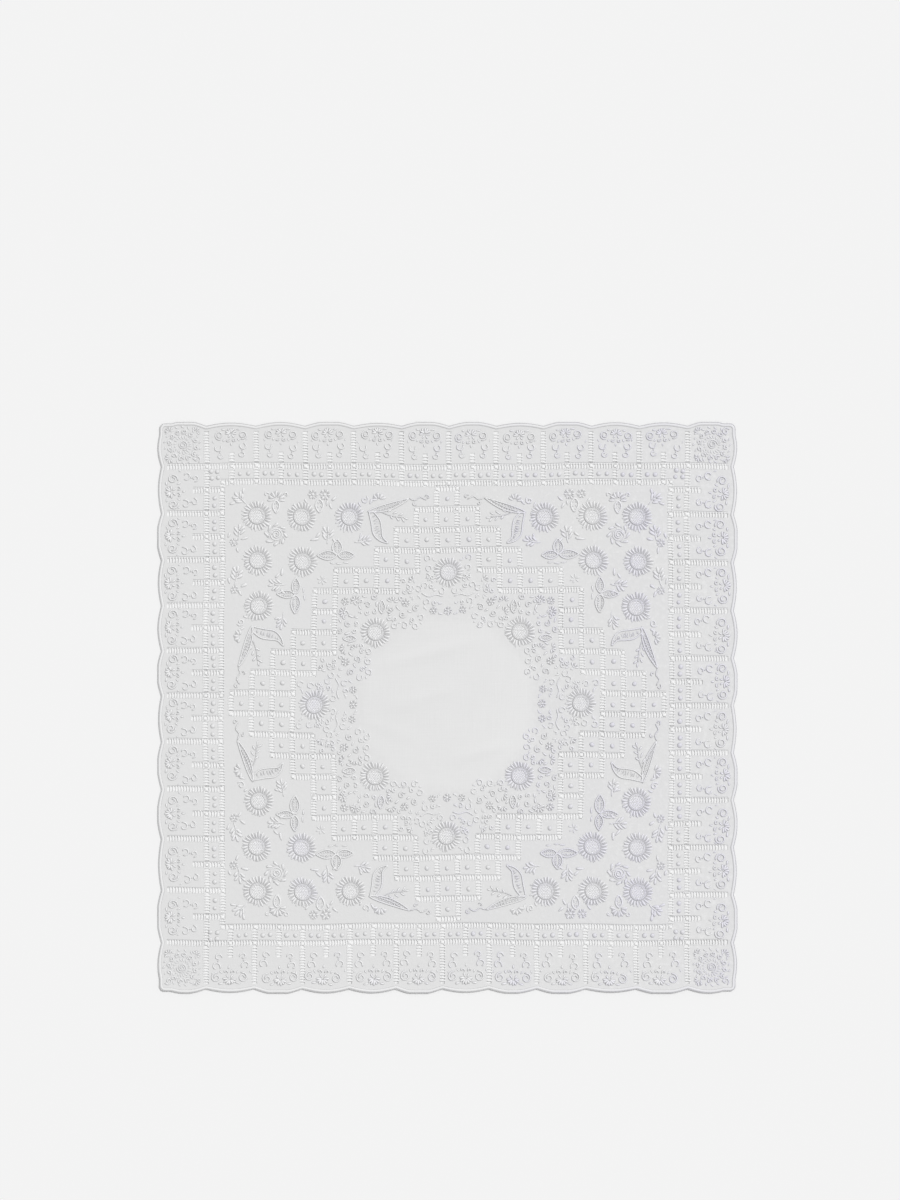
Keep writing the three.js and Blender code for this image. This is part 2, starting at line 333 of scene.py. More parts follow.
# %% [markdown]
# A piece is one object at the origin with its place in its mesh. Each is put on the one body and takes
# the material named for it.

# %% From arrays and curves to pieces
pieces = []


def in_scene(name, data):
    thing = bpy.data.objects.new(name, data)
    bpy.context.scene.collection.objects.link(thing)
    return thing


def finish_piece(mesh, name, material, **notes):
    """Writes a list of values on the corners of a mesh for each note, and puts it in the scene."""
    for note, values in notes.items():
        mesh.attributes.new(note, "FLOAT", "POINT").data.foreach_set("value", values.astype(np.float32))
    mesh.materials.append(bpy.data.materials[material])
    mesh.shade_smooth()
    piece = in_scene(name, mesh)
    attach(piece, "root")
    mesh.calc_loop_triangles()
    print(name, "-", len(mesh.loop_triangles), "triangles")
    pieces.append(piece)
    return piece


def corners_of(mesh):
    """The places of a mesh's corners, one to a row."""
    places = np.empty(len(mesh.vertices) * 3)
    mesh.vertices.foreach_get("co", places)
    return places.reshape(-1, 3)


def joined_piece(name, part, material):
    """One piece from the ruled points, triangles, places along and rise of many stitches."""
    points, triangles, ply, rise = part
    mesh = bpy.data.meshes.new(name)
    mesh.from_pydata(laid(points).tolist(), [], triangles.tolist())
    finish_piece(mesh, name, material, ply=ply, rise=rise)


# %% [markdown]
# A stitch is a small closed form that repeats thousands of times. It is spun once from a few points
# round its own length, with few faces, and its copies are then joined in one mesh.

# %% Spin a stitch and lay out its copies
BACK = 0.31  # how far a stitch reaches down through the cloth, to show on the back
AT_TIP = 0.35  # the rise of a petal's two ends


def spun(profile, sides, domed=True):
    """The corners, triangles and rise of a closed form, spun from (along, out) pairs about its length."""
    form = bmesh.new()
    line = [form.verts.new((along, out, 0)) for along, out in profile]
    edges = [form.edges.new(pair) for pair in zip(line, line[1:])]
    bmesh.ops.spin(
        form, geom=line + edges, cent=(0, 0, 0), axis=(1, 0, 0),
        angle=math.tau, steps=sides, use_merge=True,
    )
    bmesh.ops.remove_doubles(form, verts=form.verts[:], dist=1e-4)
    bmesh.ops.recalc_face_normals(form, faces=form.faces[:])
    bmesh.ops.triangulate(form, faces=form.faces[:])
    form.verts.index_update()
    corners = np.array([corner.co[:] for corner in form.verts])
    triangles = np.array([[corner.index for corner in face.verts] for face in form.faces])
    form.free()
    out = np.hypot(corners[:, 1], corners[:, 2])
    # for a form that is not domed, rise is how far a corner faces up, and the flosses paint shade where it
    # is low
    slope = np.where(out > 0, corners[:, 2] / np.maximum(out, 1e-6), AT_TIP)
    rise = 2 * corners[:, 2] if domed else slope
    return corners, triangles, rise


def copies(stitch, rows, back=BACK):
    """Copies of a stitch. Each row is x, y, heading in degrees, length, width and height."""
    corners, triangles, rise = stitch
    x, y, heading, long, wide, high = np.asarray(rows, float).T[:, :, None]
    turn = np.radians(heading)
    along = corners[:, 0] * long
    across = corners[:, 1] * wide
    up = np.where(corners[:, 2] > 0, corners[:, 2] * 2 * high, corners[:, 2] * 2 * back)
    east = x + along * np.cos(turn) - across * np.sin(turn)
    north = y + along * np.sin(turn) + across * np.cos(turn)
    points = np.stack([east, north, up], axis=2).reshape(-1, 3)
    first = len(corners) * np.arange(len(rows))[:, None, None]
    joined = (triangles + first).reshape(-1, 3)
    return points, joined, along.reshape(-1), np.tile(rise, len(rows))


PETAL = spun([(-0.5, 0), (-0.3, 0.3), (0.05, 0.46), (0.34, 0.42), (0.5, 0)], 8, False)
HEAD_PETAL = spun([(-0.5, 0), (-0.42, 0.36), (0.1, 0.5), (0.38, 0.4), (0.5, 0)], 8, False)
DOT = spun([(-0.5, 0), (-0.36, 0.35), (0, 0.5), (0.36, 0.35), (0.5, 0)], 8)
KNOT = spun([(-0.5, 0), (-0.22, 0.46), (0.22, 0.46), (0.5, 0)], 5)
print("faces of a petal, a dot and a knot:", len(PETAL[1]), len(DOT[1]), len(KNOT[1]))

# %% [markdown]
# Stems, scrolls and outlines are lines of small slanted stitches, which look like a fine rope. A curve
# with a round bevel makes such a line well: its radius swells and shrinks from point to point.

# %% Ropes of stitches from curves
ROPE_STEP = 0.9


def evenly(line, step, closed):
    """The line's points again, at even steps."""
    line = np.asarray(line, float)
    if closed:
        line = np.vstack([line, line[:1]])
    runs = np.hypot(*np.diff(line, axis=0).T)
    length = np.concatenate([[0], np.cumsum(runs)])
    count = max(2, round(length[-1] / step))
    at = np.linspace(0, length[-1], count + 1)
    return np.column_stack([np.interp(at, length, line[:, 0]), np.interp(at, length, line[:, 1])])


def rope_piece(name, ropes, material, step=ROPE_STEP, twist=0.16, sink=0.5, flat=1.0):
    """One piece from ropes, each its ruled line, radius, and whether it is closed."""
    curve = bpy.data.curves.new(name, "CURVE")
    curve.dimensions = "3D"
    curve.bevel_depth = 0.001
    curve.bevel_resolution = 1
    curve.use_fill_caps = True
    for line, radius, closed in ropes:
        line = evenly(line, step, closed)
        if closed:
            line = line[:-1]
        swell = radius * (1 + twist * (-1.0) ** np.arange(len(line)))
        if not closed:
            swell[[0, -1]] = radius * 0.55
        points = laid(np.column_stack([line, np.full(len(line), radius * sink)]))
        spline = curve.splines.new("POLY")
        spline.points.add(len(line) - 1)
        spline.points.foreach_set("co", np.column_stack([points, np.ones(len(line))]).ravel())
        spline.points.foreach_set("radius", swell)
        spline.use_cyclic_u = closed
    holder = bpy.data.objects.new(name, curve)
    mesh = bpy.data.meshes.new_from_object(holder)
    bpy.data.objects.remove(holder)
    bpy.data.curves.remove(curve)
    form = bmesh.new()
    form.from_mesh(mesh)
    bmesh.ops.remove_doubles(form, verts=form.verts[:], dist=1e-7)
    bmesh.ops.recalc_face_normals(form, faces=form.faces[:])
    form.to_mesh(mesh)
    form.free()
    mesh.name = name
    places = corners_of(mesh)
    surface = (lie(*places[:, :2].T * 1000) + CLOTH) / 1000
    over = places[:, 2] - surface
    places[:, 2] = surface + flat * over
    mesh.vertices.foreach_set("co", places.ravel())
    crest = np.median([radius for _, radius, _ in ropes]) * (1 + sink) / 1000
    # rise, the height over the cloth, sets where the flosses paint shade at the foot
    finish_piece(mesh, name, material, rise=over / crest, ply=places[:, 0] * 0)


# %% [markdown]
# The drawn-thread ladders are where threads have been pulled out of the linen and the rest tied in small
# bundles. They are listed first, because both the slots in the cloth and the bars over them need them.

# %% List the ladders
def panel_line(side, count):
    """The place of a panel line along its side; a half is the middle of a panel."""
    facts = SIDES[side]
    low, high = (OUTER_FRAME[end] for end in ENDS[facts["along"]])
    share = np.asarray(count) / PANELS
    shift = facts["drift"] * np.sin(np.pi * share) + facts["skew"] * np.sin(2 * np.pi * share)
    return low + (high - low) * share + shift


def frame_ladders(places, run_on):
    ladders = []
    for side, facts in SIDES.items():
        way = facts["along"]
        low, high = (places[end] for end in ENDS[way])
        if run_on:
            high = HALVES[way] - LADDER_TO_EDGE
            low = -high
        ladders.append((way, places[side], low, high))
    return ladders


def panel_ladders():
    ladders = []
    for side, facts in SIDES.items():
        across = OTHER[facts["along"]]
        for halves in range(1, 2 * PANELS):
            out = facts["sign"] * (HALVES[across] - LADDER_TO_EDGE)
            if halves % 2:
                out = OUTER_FRAME[side] + facts["sign"] * SHORT_LADDER
            low, high = sorted([INNER_FRAME[side], out])
            ladders.append((across, float(panel_line(side, halves / 2)), low, high))
    return ladders


# %% The ring of squares and its ladders
def ring_cells():
    return {
        (side_x * column, side_y * row)
        for row, columns in RING.items()
        for column in columns
        for side_x in (1, -1)
        for side_y in (1, -1)
    }


def ring_ladders():
    """A ladder along each unbroken row of cell edges."""
    cells = ring_cells()
    ladders = []
    for way in "xy":
        aside, onward = in_order(way, PATTERN_Y, 0)
        for line in range(-11, 12):
            start = None
            for cell in range(-11, 13):
                edged = any(in_order(way, cell, beside) in cells for beside in (line, line - 1))
                if edged and start is None:
                    start = cell
                if edged or start is None:
                    continue
                at, low, high = ((v - 0.5) * CELL for v in (line, start, cell))
                ladders.append((way, at + aside, low + onward, high + onward))
                start = None
    return ladders


def in_reach(place, low, high):
    """Whether a place is between a ladder's two ends, with half a ladder to spare."""
    return low - HALF_SLOT < place < high + HALF_SLOT


LADDERS = [
    *frame_ladders(OUTER_FRAME, True),
    *frame_ladders(INNER_FRAME, False),
    *panel_ladders(),
    *ring_ladders(),
]
print(len(LADDERS), "ladders,", round(sum(high - low for _, _, low, high in LADDERS)), "mm in all")

# %% [markdown]
# The edge is scalloped, one scallop to a panel. The same rule as in the solid gives how far in from the
# tips the edge lies at any place along a side.

# %% The scalloped edge
def edge_inset(side, at):
    facts = SIDES[side]
    half = HALVES[facts["along"]]
    lines = panel_line(side, np.arange(PANELS + 1))
    breaks = np.concatenate([[CORNER_RADIUS - half], lines, [half - CORNER_RADIUS]])
    at = np.clip(at, breaks[0], breaks[-1])
    scallop = np.clip(np.searchsorted(breaks, at, side="right") - 1, 0, PANELS + 1)
    share = (at - breaks[scallop]) / (breaks[scallop + 1] - breaks[scallop])
    out = np.sin(np.pi * np.clip(share, 0, 1)) ** SCALLOP_FULLNESS
    at_corner = ((scallop == 0) & (share < 0.5)) | ((scallop == PANELS + 1) & (share > 0.5))
    out = np.where(at_corner, np.maximum(out, CORNER_SWELL), out)
    uneven = 1 + SCALLOP_UNEVEN * np.sin(scallop * 2.3 + facts["drift"])
    return np.maximum(0, facts["depth"] * (1 - out * uneven))


def to_edge(x, y):
    """Moves the margin of a plain rectangle so that its border becomes the scalloped edge."""
    past_x = np.abs(x) - (HALF_WIDTH - CORNER_RADIUS)
    past_y = np.abs(y) - (HALF_DEPTH - CORNER_RADIUS)
    inset_x = np.where(x > 0, edge_inset("right", y), edge_inset("left", y))
    inset_y = np.where(y > 0, edge_inset("top", x), edge_inset("bottom", x))
    corner = (past_x > 0) & (past_y > 0)
    reach = np.maximum(past_x, past_y) / np.maximum(np.hypot(past_x, past_y), 1e-9)
    moved = []
    for at, half, past, inset in ((x, HALF_WIDTH, past_x, inset_x), (y, HALF_DEPTH, past_y, inset_y)):
        move = np.where(corner, reach, 1) * (1 - inset / CORNER_RADIUS) * np.maximum(past, 0)
        moved.append(np.sign(at) * (np.minimum(np.abs(at), half - CORNER_RADIUS) + move))
    return moved


# %% [markdown]
# The cloth is a grid whose lines run along both sides of every ladder, so that the ladders can be taken
# out as real slots. The grid is solidified to the thickness of fine linen, and its slot walls stay sharp.

# %% The cloth with its slots
CLOSEST = 0.3
WIDEST = 3.6
EDGE_ROOM = 0.5  # the cloth ends this far in, so that its worked edge reaches the measured size


def grid_lines(along, half):
    """Lines across one direction: both sides of every ladder and both of its ends, and more between."""
    lines = {-half, half, CORNER_RADIUS - half, half - CORNER_RADIUS}
    for way, at, low, high in LADDERS:
        low, high = (low, high) if way == along else (at, at)
        lines |= {low - HALF_SLOT, high + HALF_SLOT}
    kept = []
    for line in sorted(lines):
        if not kept or line - kept[-1] > CLOSEST or line == half:
            kept.append(line)
    filled = [kept[0]]
    for line in kept[1:]:
        parts = math.ceil((line - filled[-1]) / WIDEST)
        filled.extend(np.linspace(filled[-1], line, parts + 1)[1:])
    return np.array(filled)


def cloth_mesh():
    columns = grid_lines("x", HALF_WIDTH)
    rows = grid_lines("y", HALF_DEPTH)
    form = bmesh.new()
    bmesh.ops.create_grid(form, x_segments=len(columns) - 1, y_segments=len(rows) - 1, size=1)
    middle_x, middle_y = (columns[1:] + columns[:-1]) / 2, (rows[1:] + rows[:-1]) / 2
    open_cell = np.zeros((len(rows) - 1, len(columns) - 1), bool)
    for way, at, low, high in LADDERS:
        run, near = in_order(way, middle_x, middle_y)
        across = np.abs(near - at) < HALF_SLOT
        inside = (run > low - HALF_SLOT) & (run < high + HALF_SLOT)
        open_cell |= np.outer(*in_order(way, across, inside))
    form.verts.ensure_lookup_table()
    corners = np.array([corner.co[:2] for corner in form.verts])
    column = np.rint((corners[:, 0] + 1) / 2 * (len(columns) - 1)).astype(int)
    row = np.rint((corners[:, 1] + 1) / 2 * (len(rows) - 1)).astype(int)
    x = columns[column] * (1 - EDGE_ROOM / HALF_WIDTH)
    y = rows[row] * (1 - EDGE_ROOM / HALF_DEPTH)
    places = laid(np.column_stack([*to_edge(x, y), np.zeros(len(x))]))
    for corner, place in zip(form.verts, places.tolist()):
        corner.co = place
    drawn = []
    for face in form.faces:
        first = min(corner.index for corner in face.verts)
        if open_cell[row[first], column[first]]:
            drawn.append(face)
    bmesh.ops.delete(form, geom=drawn, context="FACES")
    form.normal_update()
    bmesh.ops.solidify(form, geom=form.faces[:], thickness=CLOTH / 1000)
    mesh = bpy.data.meshes.new("linen_ground")
    form.to_mesh(mesh)
    form.free()
    return mesh


def how_worked(mesh):
    """1 where needlework has puckered the cloth, 0 in the plain middle."""
    x, y, _ = np.abs(corners_of(mesh).T * 1000 - np.array([[0], [PATTERN_Y], [0]]))
    out = np.maximum(np.maximum(x, y), (x + y) / math.sqrt(2))
    return np.clip((out - 55) / 12, 0, 1)


ground_mesh = cloth_mesh()
ground = finish_piece(ground_mesh, "linen_ground", "plain_linen", worked=how_worked(ground_mesh))
ground_mesh.set_sharp_from_angle(angle=math.radians(40))
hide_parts("handkerchief_cloth")

# %% [markdown]
# Across each ladder the threads that are left stand as bars, drawn together at the waist. A row of hem
# stitches along both sides holds them. Where two ladders cross, both sets of threads are gone, and the
# square is held by a cross of threads with a small woven wheel in its middle.

# %% Bars and hem stitches
BAR_PITCH = 1.9
BAR = spun([(-0.5, 0), (-0.42, 0.5), (0, 0.44), (0.42, 0.5), (0.5, 0)], 6)
HEM = spun([(-0.5, 0), (-0.2, 0.5), (0.25, 0.5), (0.5, 0)], 4)
BAR_SIZE = (LADDER + 1.0, 0.86, 0.1)  # length, width and height
CROSS_SIZE = (5.0, 0.55, 0.1)
WHEEL_SIZE = (2.5, 2.5, 0.2)
HEM_SIZE = (BAR_PITCH * 0.95, 0.5, 0.1)
HEM_OFF = HALF_SLOT + 0.3


def bar_places(ladder):
    """The places of the bars along a ladder, leaving out the squares where another crosses."""
    way, at, low, high = ladder
    count = max(2, round((high - low) / BAR_PITCH))
    places = low + (np.arange(count) + 0.5) * (high - low) / count
    free = np.ones(count, bool)
    for other_way, other_at, other_low, other_high in LADDERS:
        if other_way != way and in_reach(at, other_low, other_high):
            free &= np.abs(places - other_at) > HALF_SLOT
    return places[free]


bar_rows = []
wheel_rows = []
hem_rows = []
for (way, at, low, high), (other_way, x, other_low, other_high) in itertools.product(LADDERS, LADDERS):
    met = in_reach(at, other_low, other_high) and in_reach(x, low, high)
    if met and way == "x" and other_way == "y":
        bar_rows.extend((x, at, heading, *CROSS_SIZE) for heading in (45, 135))
        wheel_rows.append((x, at, 0, *WHEEL_SIZE))
for ladder in LADDERS:
    way, at, low, high = ladder
    heading = 90 if way == "x" else 0
    for place in bar_places(ladder):
        bar_rows.append((*in_order(way, place, at), heading, *BAR_SIZE))
        for off in (-HEM_OFF, HEM_OFF):
            hem_rows.append((*in_order(way, place, at + off), heading + 90, *HEM_SIZE))
bar_rows = np.array(bar_rows)
bar_rows[:, 2] += hand.normal(0, 2.5, len(bar_rows))
bar_rows[:, 4] *= hand.normal(1, 0.09, len(bar_rows))
joined_piece("ladder_bars", copies(BAR, bar_rows, back=0.14), "drawn_thread")
joined_piece("ladder_wheels", copies(DOT, wheel_rows, back=0.2), "drawn_thread")
hem_rows = np.array(hem_rows)
hem_rows[:, 2] += hand.normal(0, 5, len(hem_rows))
joined_piece("hem_stitches", copies(HEM, hem_rows, back=0.2), "hem_floss")

# A thin grey rope along the upper side of each ladder along x is painted shadow: the shadow the slot's
# upper edge would cast.
upper_edges = []
for way, at, low, high in LADDERS:
    if way == "x":
        rim = np.arange(low - 1, high + 1.1, 1.0)
        upper_edges.append((np.column_stack([rim, np.full(len(rim), at + HALF_SLOT + 0.8)]), 0.22, False))
rope_piece("ladder_painted_shadow", upper_edges, "painted_shade_line_floss", step=2.6, twist=0.1, sink=0.1, flat=0.6)

# %% [markdown]
# The edge is worked in buttonhole stitch: a flat band of close stitches, the purl, a row of small knots,
# on the very edge, grey with painted shade, and a thin dark line of painted shade where the band ends.
# All three are ropes that follow the outline.
# They could be swept one stitch at a time, but a curve's round bevel does it with far fewer corners.

# %% The worked edge
def edge_line(inset):
    """The outline, evenly stepped, moved in by a distance."""
    width = np.linspace(-HALF_WIDTH, HALF_WIDTH, 1600)
    depth = np.linspace(-HALF_DEPTH, HALF_DEPTH, 1600)
    border = np.vstack([
        np.column_stack([width, np.full(1600, -HALF_DEPTH)]),
        np.column_stack([np.full(1600, HALF_WIDTH), depth])[1:],
        np.column_stack([width[::-1], np.full(1600, HALF_DEPTH)])[1:],
        np.column_stack([np.full(1600, -HALF_WIDTH), depth[::-1]])[1:-1],
    ])
    line = evenly(np.column_stack(to_edge(*border.T)), 0.5, closed=True)[:-1]
    run = np.roll(line, -2, axis=0) - np.roll(line, 2, axis=0)
    run /= np.hypot(*run.T)[:, None]
    return line + inset * np.column_stack([-run[:, 1], run[:, 0]])


EDGE_ROPES = [(1.3, 0.95), (0.22, 0.22), (2.2, 0.16)]  # how far in, and radius
band, purl, cord = ([(edge_line(inset), radius, True)] for inset, radius in EDGE_ROPES)
rope_piece("edge_band", band, "edge_floss", step=1.1, twist=0.05, sink=0.0, flat=0.35)
# the purl's grey is painted shade along the edge
rope_piece("edge_purl", purl, "purl_painted_shade_floss", step=0.8, twist=0.25, sink=0.0)
# the inner cord is dark as painted shade where the band ends
rope_piece("edge_cord", cord, "painted_shade_line_floss", step=0.9, twist=0.3, sink=0.2)

# %% [markdown]
# The pattern is built of small drawings: a scroll, a fan, a sprig, a rosette, a leaf. A drawing holds
# ropes and padded stitches, and can be worked into another one at any place, turned, mirrored or smaller.

# %% A drawing of ropes and padded stitches
class Drawing:
    def __init__(self):
        self.ropes = []
        self.satins = []
        self.gaps = []

    def rope(self, line, radius, closed=False):
        self.ropes.append((np.asarray(line, float), radius, closed))
        return self

    def satin(self, x, y, heading, long, wide):
        self.satins.append((x, y, heading, long, wide))
        return self

    # a gap is a narrow dark stitch between two padded ones that paints the shade there
    def gap(self, x, y, heading, long, wide):
        self.gaps.append((x, y, heading, long, wide))
        return self

    def dot(self, x, y, radius):
        return self.satin(x, y, 0, 2 * radius, 2 * radius)

    def work(self, other, x=0.0, y=0.0, heading=0.0, flip=1, size=1.0, loose=0.0):
        """Works another drawing into this one; loose lets the hand miss the place a little."""
        x, y = np.array([x, y]) + loose * hand.normal(0, 0.35, 2)
        heading = heading + loose * hand.normal(0, 2.5)
        turn = math.radians(heading)
        spin = size * np.array([[math.cos(turn), math.sin(turn)], [-math.sin(turn), math.cos(turn)]])
        for line, radius, closed in other.ropes:
            self.ropes.append((line * (1, flip) @ spin + (x, y), radius * min(1, size ** 0.5), closed))
        for mine, theirs in ((self.satins, other.satins), (self.gaps, other.gaps)):
            for at_x, at_y, way, long, wide in theirs:
                place = np.array([at_x, at_y * flip]) @ spin + (x, y)
                mine.append((*place, heading + flip * way, long * size, wide * size))
        return self


def mirrored(half, x=0, y=0, heading=180):
    """A drawing from its half, worked once as it is and once turned over."""
    return Drawing().work(half).work(half, x, y, heading, -1)


def in_quarters(whole, quarter):
    for turn, flip in ((0, 1), (180, -1), (180, 1), (0, -1)):
        whole.work(quarter, 0, PATTERN_Y, turn, flip)


def ring_of(rows, turns, out, lean, long, wide):
    """Adds a stitch at each turn round a point, leaning some degrees from the ray to it."""
    for turn in turns:
        rows.append((*polar(out, turn), turn + lean, long, wide))


# %% The small drawings
def spiral(outer, inner, turns, start=0.0):
    """Points of a scroll, from the outside in, anticlockwise."""
    share = np.linspace(0, 1, max(8, int(turns * 16)))
    angle = math.radians(start) + math.tau * turns * share
    radius = outer + (inner - outer) * share ** 0.8
    return np.column_stack([radius * np.cos(angle), radius * np.sin(angle)])


def circle(radius):
    return spiral(radius, radius, 1)[:-1]


def bent(points):
    """A smooth line through a few points."""
    points = np.asarray(points, float)
    at = np.linspace(0, len(points) - 1, 6 * len(points))
    low = np.clip(at.astype(int), 0, len(points) - 2)
    share = (at - low)[:, None]
    padded = np.vstack([2 * points[0] - points[1], points, 2 * points[-1] - points[-2]])
    a, b, c, d = (padded[low + k] for k in range(4))
    square = 2 * a - 5 * b + 4 * c - d
    cube = 3 * b - a - 3 * c + d
    return 0.5 * (2 * b + (c - a) * share + square * share ** 2 + cube * share ** 3)


def scroll(outer, turns):
    return Drawing().rope(spiral(outer, outer * 0.22, turns), 0.45)


def fan(count, spread, near, long, wide):
    """Petals side by side round a point, opening along the heading, with a dark stitch of painted shade
    between two.
    """
    drawing = Drawing()
    turns = np.linspace(-0.5, 0.5, 2 * count - 1) * spread
    ring_of(drawing.satins, turns[::2], near + long / 2, 0, long, wide)
    ring_of(drawing.gaps, turns[1::2], near + long / 2, 0, long * 0.8, wide * 0.62)
    return drawing


def rosette(radius):
    """Six petals round a padded eye."""
    drawing = Drawing().dot(0, 0, radius * 0.32)
    ring_of(drawing.satins, range(0, 360, 60), radius * 0.7, 0, radius * 0.76, radius * 0.46)
    # dark stitches between the petals, as painted shade
    ring_of(drawing.gaps, range(30, 390, 60), radius * 0.7, 0, radius * 0.66, radius * 0.30)
    return drawing


def sprig(long, leaves, leaf_long, leaf_wide):
    """A stem along the heading with leaves on both sides and one at its end."""
    drawing = Drawing().rope(bent([(0, 0), (long * 0.5, long * 0.06), (long, 0)]), 0.36)
    drawing.satin(long + leaf_long * 0.45, 0, 0, leaf_long, leaf_wide)
    for count in range(leaves):
        way = 42 if count % 2 else -42
        x, y = polar(leaf_long * 0.6, way)
        along = long * (0.3 + 0.62 * count / max(1, leaves - 1))
        drawing.satin(along + x, y, way, leaf_long, leaf_wide)
    return drawing


def seeded_leaf(long, wide, bend, seeds):
    """A leaf drawn in outline along the heading, with slanted stitches on both sides of its middle."""
    share = np.linspace(0, 1, 15)
    middle = bend * np.sin(np.pi * share)
    swell = wide / 2 * np.sin(np.pi * share ** 0.85) ** 0.85
    outline = np.vstack([
        np.column_stack([share * long, middle + swell]),
        np.column_stack([share * long, middle - swell])[-2:0:-1],
    ])
    drawing = Drawing().rope(outline, 0.5, True)
    for at in np.linspace(0.2, 0.82, seeds):
        room = wide * math.sin(math.pi * at ** 0.85)
        for side in (1, -1):
            across = bend * math.sin(math.pi * at) + side * room * 0.2
            drawing.satin(at * long, across, side * 42, 0.8 + room * 0.26, 0.85)
            # a dark stitch beside each slanted one, as painted shade
            drawing.gap(at * long + 0.7, across, side * 42, 0.4 + room * 0.26, 0.6)
    return drawing


def free_leaf(one_side, other_side, seeds):
    """A leaf between two drawn sides that run from its base to its tip, crossed by slanted stitches."""
    one, other = bent(one_side), bent(other_side)
    drawing = Drawing().rope(np.vstack([one, other[::-1]]), 0.5, True)
    for share in np.linspace(0.16, 0.84, seeds):
        step = int(share * (len(one) - 1))
        x, y = (one[step] + other[step]) / 2
        across = other[step] - one[step]
        way = math.degrees(math.atan2(across[1], across[0])) + 18
        drawing.satin(x, y, way, 0.55 * math.hypot(*across), 0.85)
        # a dark stitch beside each slanted one, as painted shade
        drawing.gap(x, y + 0.75, way, 0.45 * math.hypot(*across), 0.6)
    return drawing


def asterisk(radius):
    drawing = Drawing()
    ring_of(drawing.satins, range(20, 380, 60), radius * 0.6, 0, radius, radius * 0.36)
    return drawing


# %% [markdown]
# A sunflower head is a ring of padded petals with a dark stitch of painted shade between each two, then a
# thin dark rim of painted shade, two light raised rings and a bed of small knots. Every petal is stretched
# and turned a little at random, with a fixed seed, as a hand would leave it.

# %% The sunflowers
FLOWER_SPOTS = [(131.7, 129.0), (100.7, 129.0), (67.6, 129.0), (131.7, 98.3), (100.7, 98.3), (130.3, 66.9)]
PETAL_COUNT = 24
PETALS = {"out": 6.0, "long": 4.6, "wide": 1.35, "uneven": (0.1, 0.1), "lean": 8, "high": 0.5}
# GAPS are dark stitches between the petals that paint their shade
GAPS = {"out": 6.1, "long": 3.9, "wide": 0.95, "uneven": (0.14, 0.2), "lean": 188, "high": 0.12}
KNOT_SIZE = (1.3, 1.0, 0.34)


def sunflower_spots():
    spots = []
    for side_x, side_y in ((1, 1), (-1, 1), (-1, -1), (1, -1)):
        spots.extend((side_x * x, PATTERN_Y + side_y * y) for x, y in FLOWER_SPOTS)
    for count in range(8):
        x, y = polar(70.5 if count % 2 else 91.5, 45 * count)
        spots.append((x, PATTERN_Y + y))
    return spots


def head_stitch(x, y, turn, out, long, wide, uneven, lean, high):
    """A petal or a gap of a sunflower, with its turn, length and width a little off."""
    turn += hand.normal(0, 1.0)
    long *= hand.normal(1, uneven[0])
    off_x, off_y = polar(out + long / 2, turn)
    return x + off_x, y + off_y, turn + lean, long, wide * hand.normal(1, uneven[1]), high


def knot_bed(radius, pitch):
    """Knots on a triangular grid inside a circle."""
    places = []
    for row in range(-6, 7):
        for column in range(-6, 7):
            x, y = (column + 0.5 * (row % 2)) * pitch, row * pitch * 0.87
            if math.hypot(x, y) < radius:
                places.append((x, y))
    return places


petal_rows = []
gap_rows = []
knot_rows = []
light_rings = []
painted_shade_rings = []
for x, y in sunflower_spots():
    start = hand.uniform(0, 360 / PETAL_COUNT)
    for petal in range(PETAL_COUNT):
        petal_rows.append(head_stitch(x, y, start + petal * 360 / PETAL_COUNT, **PETALS))
        gap_rows.append(head_stitch(x, y, start + (petal + 0.5) * 360 / PETAL_COUNT, **GAPS))
    for knot_x, knot_y in knot_bed(radius=4.1, pitch=1.16):
        off_x, off_y = hand.normal(0, 0.09, 2)
        spot = (x + knot_x + off_x, y + knot_y + off_y)
        knot_rows.append((*spot, hand.uniform(0, 180), *KNOT_SIZE))
    light_rings.extend((circle(radius) + (x, y), 0.34, True) for radius in (4.6, 5.3))
    # a thin dark rope round the petals' inner ends, painted shade
    painted_shade_rings.append((circle(5.95) + (x, y), 0.18, True))

joined_piece("sunflower_petals", copies(HEAD_PETAL, petal_rows), "petal_floss")
joined_piece("sunflower_painted_shade_gaps", copies(HEAD_PETAL, gap_rows), "painted_shade_floss")
joined_piece("sunflower_knots", copies(KNOT, knot_rows), "knot_floss")
rope_piece("sunflower_painted_shade_rims", painted_shade_rings, "painted_shade_floss")
rope_piece("sunflower_rings", light_rings, "fine_floss")

# %% [markdown]
# One padded dot sits in each square of the ring, and a pair in each cell between the two frames.

# %% The padded dots
def frame_dots():
    spots = []
    for side, facts in SIDES.items():
        band = (INNER_FRAME[side] + OUTER_FRAME[side]) / 2
        for halves in range(1, 2 * PANELS - 1):
            middle = float(panel_line(side, halves / 2 + 0.25))
            for off in (-2.65, 2.65):
                spots.append(in_order(facts["along"], middle + off, band))
    for side_x, side_y in CORNERS:
        x = (INNER_FRAME[side_x] + OUTER_FRAME[side_x]) / 2
        y = (INNER_FRAME[side_y] + OUTER_FRAME[side_y]) / 2
        spots.extend((x + off_x, y + off_y) for off_x in (-2.2, 2.2) for off_y in (-2.2, 2.2))
    return spots


def dot_row(x, y, size, off, flat):
    size = size * hand.normal(1, 0.06)
    spot = (x + hand.normal(0, off), y + hand.normal(0, off))
    return *spot, hand.uniform(0, 180), size, size * flat, 0.8


dot_rows = [dot_row(x, y, 3.3, 0.2, 1) for x, y in frame_dots()]
for column, row in sorted(ring_cells()):
    dot_rows.append(dot_row(column * CELL, PATTERN_Y + row * CELL, 3.5, 0.3, 0.9))
joined_piece("padded_dots", copies(DOT, dot_rows), "dot_floss")

# %% [markdown]
# Each border panel has the same posy: a fan of petals near the scallop with three drops hanging from it,
# a large scroll on either side, and smaller curls below, beside the short ladder.

